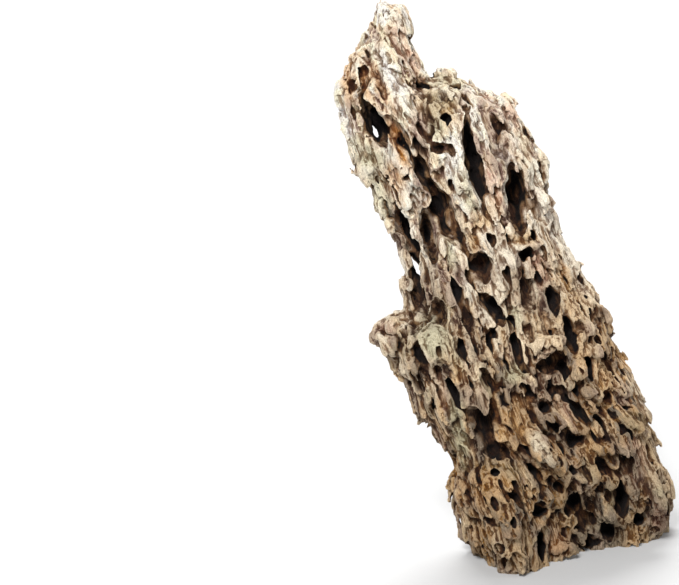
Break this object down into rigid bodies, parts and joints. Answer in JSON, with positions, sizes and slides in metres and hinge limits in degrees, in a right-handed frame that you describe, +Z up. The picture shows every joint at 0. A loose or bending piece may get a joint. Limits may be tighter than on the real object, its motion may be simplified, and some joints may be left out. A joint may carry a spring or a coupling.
{
  "type": "aquarium dragon stone",
  "caption": "Tall leaning slab of weathered clay stone, covered in long pockets, ribs and ledges, on a flat foot; stands upright as aquarium hardscape.",
  "frame": {"origin": "centre of the bounding box, on the plane the foot stands on", "axes": "+Z up along the stone's height, -Y towards the viewer of its pocketed face, +X to that viewer's right; the tip leans to -X"},
  "size_m": [0.2078, 0.1538, 0.341],
  "materials": {
    "stone": "matte, weathered"
  },
  "bodies": {
    "root": {"dragon_stone": "stone"}
  },
  "joints": []
}
